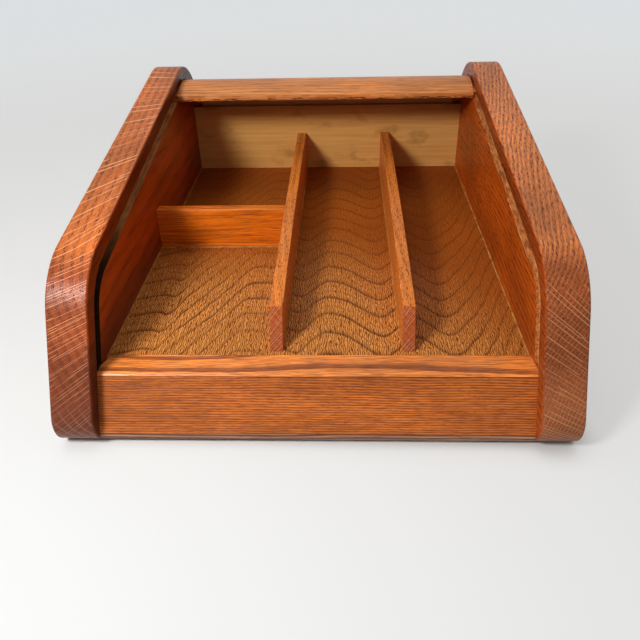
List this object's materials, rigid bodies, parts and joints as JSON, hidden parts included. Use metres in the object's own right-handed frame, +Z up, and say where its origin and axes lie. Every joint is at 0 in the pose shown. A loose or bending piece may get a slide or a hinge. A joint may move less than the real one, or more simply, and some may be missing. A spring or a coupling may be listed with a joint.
{
  "type": "roll-top desk organizer",
  "caption": "Oak desk organizer with thick grooved sides, a leaning front rail, a divided tray and a slatted roll-top curtain, pushed open.",
  "frame": {"origin": "on the table, at the middle of the width and of the depth", "axes": "+X to the right, +Y from the front rail to the back, +Z up"},
  "size_m": [0.236, 0.296, 0.111],
  "materials": {
    "oak_side": "satin varnish",
    "oak_rail": "satin varnish",
    "oak_lead": "satin varnish",
    "oak_divider": "satin varnish",
    "oak_slat": "satin varnish",
    "veneer_floor": "satin varnish",
    "pale_wall": "thin varnish",
    "panel_board": "bare board",
    "dowel": "bare",
    "canvas": "unbleached duck"
  },
  "bodies": {
    "carcass": {"left_side": "oak_side", "right_side": "oak_side", "front_rail": "oak_rail", "rail_dowels": "dowel", "tray_floor": "veneer_floor", "tray_wall": "pale_wall", "back_panel": "panel_board", "bottom_panel": "panel_board", "left_divider": "oak_divider", "right_divider": "oak_divider", "cross_divider": "oak_divider", "curtain_canvas": "canvas", "slat_01": "oak_slat", "slat_02": "oak_slat", "slat_03": "oak_slat", "slat_04": "oak_slat", "slat_05": "oak_slat", "slat_06": "oak_slat", "slat_07": "oak_slat", "slat_08": "oak_slat", "slat_09": "oak_slat", "slat_10": "oak_slat", "slat_11": "oak_slat", "slat_12": "oak_slat", "slat_13": "oak_slat", "slat_14": "oak_slat", "slat_15": "oak_slat", "slat_16": "oak_slat", "slat_17": "oak_slat", "slat_18": "oak_slat"},
    "curtain_front": {"lead_rail": "oak_lead"}
  },
  "joints": [
    {"name": "curtain_slide", "type": "slide", "parent": "carcass", "child": "curtain_front", "axis": [0, -0.9877, -0.1564], "range_m": [0, 0.178], "deforming": ["curtain_canvas", "slat_01", "slat_02", "slat_03", "slat_04", "slat_05", "slat_06", "slat_07", "slat_08", "slat_09", "slat_10", "slat_11", "slat_12", "slat_13", "slat_14", "slat_15", "slat_16", "slat_17", "slat_18"]}
  ]
}
